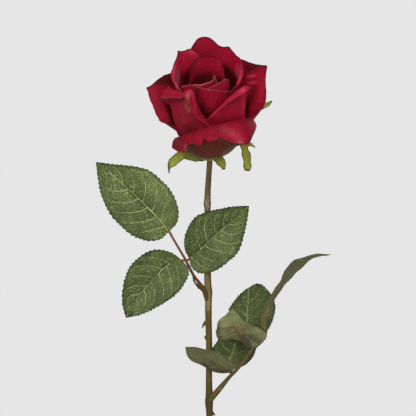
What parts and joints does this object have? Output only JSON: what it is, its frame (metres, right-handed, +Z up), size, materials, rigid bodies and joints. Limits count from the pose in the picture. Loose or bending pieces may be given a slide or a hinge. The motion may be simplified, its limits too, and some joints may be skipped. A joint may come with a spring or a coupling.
{
  "type": "rose in a bud vase",
  "caption": "Long-stemmed rose with a half-open red bloom, hanging sepals and toothed compound leaves, standing upright in a slim pale glazed bud vase of water.",
  "frame": {"origin": "centre of the vase's flat foot", "axes": "+Z up, along the vase's axis and the stem; -Y is the side that the bloom leans towards and the picture shows"},
  "size_m": [0.1551, 0.091, 0.4474],
  "materials": {
    "vase_glaze": "glossy",
    "water": "clear",
    "stem": "satin",
    "leaf": "satin",
    "calyx": "satin",
    "petal": "velvety"
  },
  "bodies": {
    "root": {"vase": "vase_glaze", "water": "water", "stem": "stem", "leaf_upper": "leaf", "leaf_lower": "leaf", "calyx": "calyx", "bloom": "petal"}
  },
  "joints": []
}
